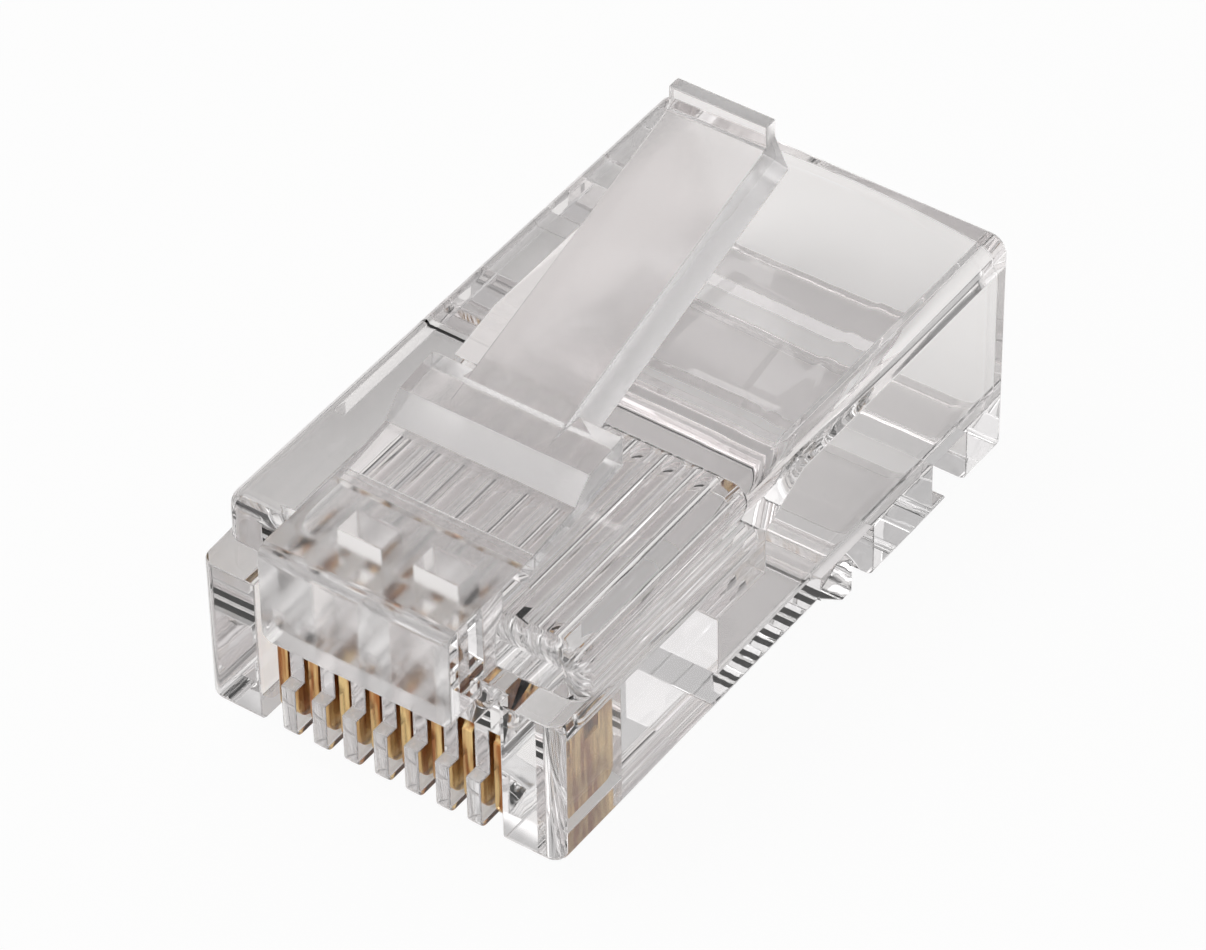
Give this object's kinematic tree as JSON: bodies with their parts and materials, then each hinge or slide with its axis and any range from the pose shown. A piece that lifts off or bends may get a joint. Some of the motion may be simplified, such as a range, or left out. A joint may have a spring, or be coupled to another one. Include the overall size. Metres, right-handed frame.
{
  "type": "rj45 modular plug",
  "caption": "Clear plastic modular plug for twisted-pair network cable, uncrimped, with a sprung locking latch and gold-plated contact blades.",
  "frame": {"origin": "bottom centre of the whole plug's box, under the rear sole", "axes": "+Y along the plug towards the cable end, +Z from the sole to the latch, +X across the plug"},
  "size_m": [0.0116, 0.0226, 0.0136],
  "materials": {
    "clear_polycarbonate": "clear, polished",
    "gold_plated_contact": "gold plated, bright"
  },
  "bodies": {
    "housing": {"housing": "clear_polycarbonate", "contact_1": "gold_plated_contact", "contact_2": "gold_plated_contact", "contact_3": "gold_plated_contact", "contact_4": "gold_plated_contact", "contact_5": "gold_plated_contact", "contact_6": "gold_plated_contact", "contact_7": "gold_plated_contact", "contact_8": "gold_plated_contact"},
    "latch": {"latch": "clear_polycarbonate"}
  },
  "joints": [
    {"name": "latch_press", "type": "hinge", "parent": "housing", "child": "latch", "pos_m": [0, -0.00749, 0.00819], "axis": [-1, 0, 0], "range_deg": [0, 12], "stiffness_Nm_per_rad": 0.2}
  ]
}
